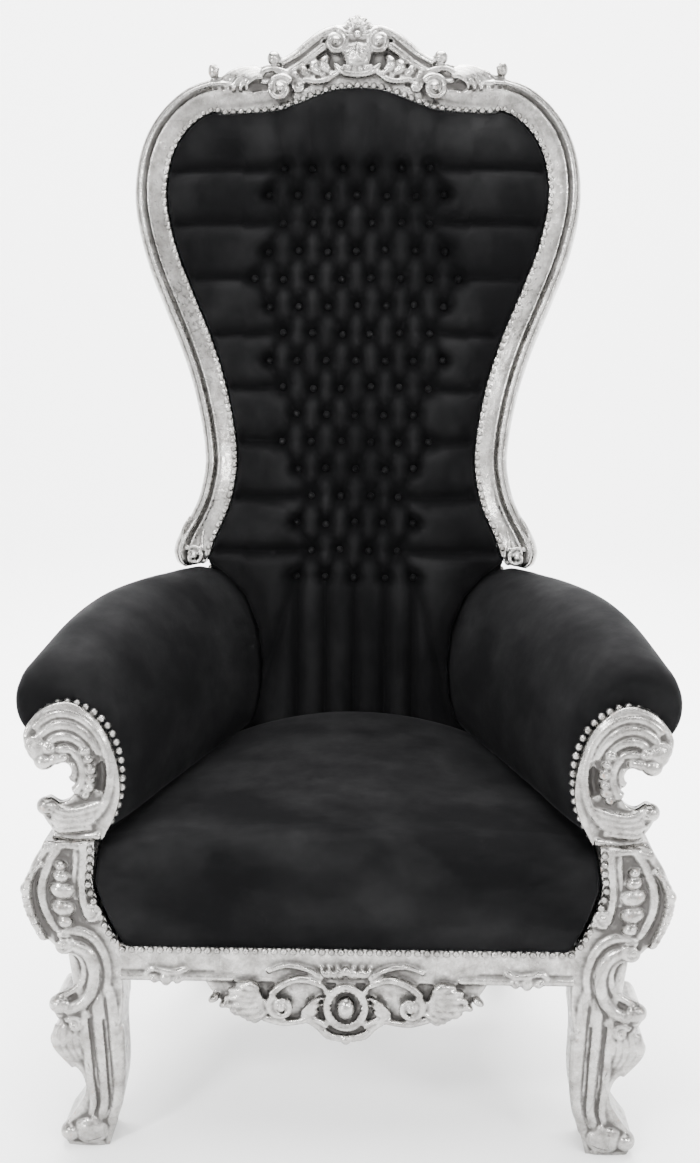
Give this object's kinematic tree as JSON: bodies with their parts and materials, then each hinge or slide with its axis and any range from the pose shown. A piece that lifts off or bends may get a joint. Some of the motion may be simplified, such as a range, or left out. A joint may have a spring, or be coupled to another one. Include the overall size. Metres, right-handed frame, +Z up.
{
  "type": "throne",
  "caption": "High-backed upholstered throne: carved silver-leafed frame with a shell crest, buttoned back, rolled arms on C-scroll front legs, swept back legs.",
  "frame": {"origin": "on the floor, under the middle of the whole throne's box", "axes": "+Z up; the front faces -Y; +X to the right of someone looking at the front"},
  "size_m": [0.9972, 0.7334, 1.786],
  "materials": {
    "silver_leaf": "bright silver leaf over carved wood, darker in the hollows",
    "black_velvet": "short black velvet pile with a soft grey sheen"
  },
  "bodies": {
    "root": {"crest_rail": "silver_leaf", "back_stile_left": "silver_leaf", "back_stile_right": "silver_leaf", "arm_scroll_left": "silver_leaf", "arm_scroll_right": "silver_leaf", "front_leg_left": "silver_leaf", "front_leg_right": "silver_leaf", "front_rail": "silver_leaf", "side_rail_left": "silver_leaf", "side_rail_right": "silver_leaf", "back_rail": "silver_leaf", "back_leg_left": "silver_leaf", "back_leg_right": "silver_leaf", "inside_back": "black_velvet", "outside_back": "black_velvet", "seat": "black_velvet", "arm_left": "black_velvet", "arm_right": "black_velvet"}
  },
  "joints": []
}
